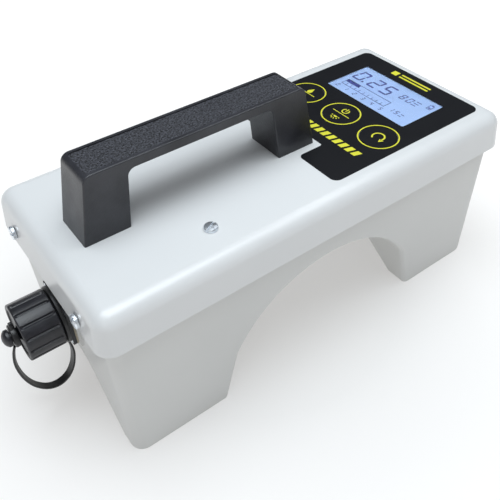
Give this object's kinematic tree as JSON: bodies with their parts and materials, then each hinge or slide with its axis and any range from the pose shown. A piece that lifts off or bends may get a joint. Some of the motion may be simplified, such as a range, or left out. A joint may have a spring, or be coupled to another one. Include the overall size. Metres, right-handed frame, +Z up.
{
  "type": "insulated pole leakage tester",
  "caption": "Portable saddle-shaped insulating-pole tester with a black carrying handle, a control panel with a graphic display and round keys, and a capped power inlet.",
  "frame": {"origin": "centre of the whole object's bounding box seen from above, on the plane of the feet's undersides", "axes": "+Z up through the lid and handle, +X along the case towards the display end, +Y across the case"},
  "size_m": [0.3242, 0.132, 0.1584],
  "materials": {
    "tub_plastic": "semi-gloss moulded ABS",
    "lid_plastic": "semi-gloss moulded ABS",
    "gasket_rubber": "soft moulded rubber",
    "zinc_plate": "bright zinc plate",
    "brass": "turned brass",
    "handle_plastic": "satin black nylon, fine grain",
    "grip_rubber": "coarse leather grain",
    "sheet_aluminium": "mill finish sheet",
    "black_plastic": "matt moulded plastic",
    "cell_wrap": "shrink wrapped steel can",
    "overlay_film": "fine-textured printed polyester film",
    "clear_window": "clear acrylic",
    "display_glass": "liquid crystal cell",
    "diffuser": "white light guide",
    "circuit_board": "solder resist on glass fibre board",
    "potting": "epoxy potted block",
    "ribbon": "flat ribbon cable",
    "electrode_steel": "stainless sheet",
    "red_wire": "silicone insulation",
    "black_wire": "insulated wire",
    "inlet_plastic": "glass-filled nylon",
    "flange_gasket": "flat beige gasket",
    "strap_rubber": "moulded flexible strap",
    "cap_plastic": "ribbed moulded nylon"
  },
  "bodies": {
    "case": {"tub_shell": "tub_plastic", "lid_shell": "lid_plastic", "lid_gasket": "gasket_rubber", "end_screws": "zinc_plate", "end_screw_inserts": "brass", "handle": "handle_plastic", "grip_pad": "grip_rubber", "handle_inserts": "brass", "handle_backing_plate": "zinc_plate", "handle_screws": "zinc_plate", "top_screws": "zinc_plate", "battery_cradle": "sheet_aluminium", "cradle_nuts": "zinc_plate", "battery_holder": "black_plastic", "battery_cells": "cell_wrap", "battery_contacts": "zinc_plate", "control_overlay": "overlay_film", "display_window": "clear_window", "display_frame": "sheet_aluminium", "display_glass": "display_glass", "display_backlight": "diffuser", "display_board": "circuit_board", "display_standoffs": "brass", "display_screws": "zinc_plate", "key_switches": "black_plastic", "main_board": "circuit_board", "board_components": "black_plastic", "high_voltage_transformer": "potting", "main_board_screws": "zinc_plate", "ribbon_cable": "ribbon", "display_end_electrode": "electrode_steel", "inlet_end_electrode": "electrode_steel", "electrode_studs": "electrode_steel", "electrode_nuts": "zinc_plate", "display_end_lead": "red_wire", "inlet_end_lead": "red_wire", "inlet_lead": "black_wire", "battery_lead": "red_wire", "inlet_shell": "inlet_plastic", "inlet_insulator": "black_plastic", "inlet_pins": "brass", "inlet_gasket": "flange_gasket", "inlet_screws": "zinc_plate", "inlet_nuts": "zinc_plate", "strap_ring": "strap_rubber", "strap_band": "strap_rubber"},
    "mode_key": {"mode_key": "overlay_film"},
    "power_light_key": {"power_light_key": "overlay_film"},
    "reset_key": {"reset_key": "overlay_film"},
    "cap_eyelet": {"strap_eyelet": "strap_rubber"},
    "cap": {"cap_shell": "cap_plastic", "cap_seal": "gasket_rubber"}
  },
  "joints": [
    {"name": "mode_key_press", "type": "slide", "parent": "case", "child": "mode_key", "axis": [0, 0, -1], "range_m": [0, 0.0004], "stiffness_N_per_m": 900, "springref_m": -0.0004},
    {"name": "power_light_key_press", "type": "slide", "parent": "case", "child": "power_light_key", "axis": [0, 0, -1], "range_m": [0, 0.0004], "stiffness_N_per_m": 900, "springref_m": -0.0004},
    {"name": "reset_key_press", "type": "slide", "parent": "case", "child": "reset_key", "axis": [0, 0, -1], "range_m": [0, 0.0004], "stiffness_N_per_m": 900, "springref_m": -0.0004},
    {"name": "cap_travel", "type": "slide", "parent": "case", "child": "cap_eyelet", "axis": [-1, 0, 0], "range_m": [0, 0.0101], "deforming": ["strap_band"]},
    {"name": "cap_turn", "type": "hinge", "parent": "cap_eyelet", "child": "cap", "pos_m": [-0.1434, 0, 0.07], "axis": [-1, 0, 0], "range_deg": [0, 720]}
  ],
  "couplings": [
    {"joint": "cap_travel", "follows": "cap_turn", "m_per_rad": 0.00079577}
  ]
}
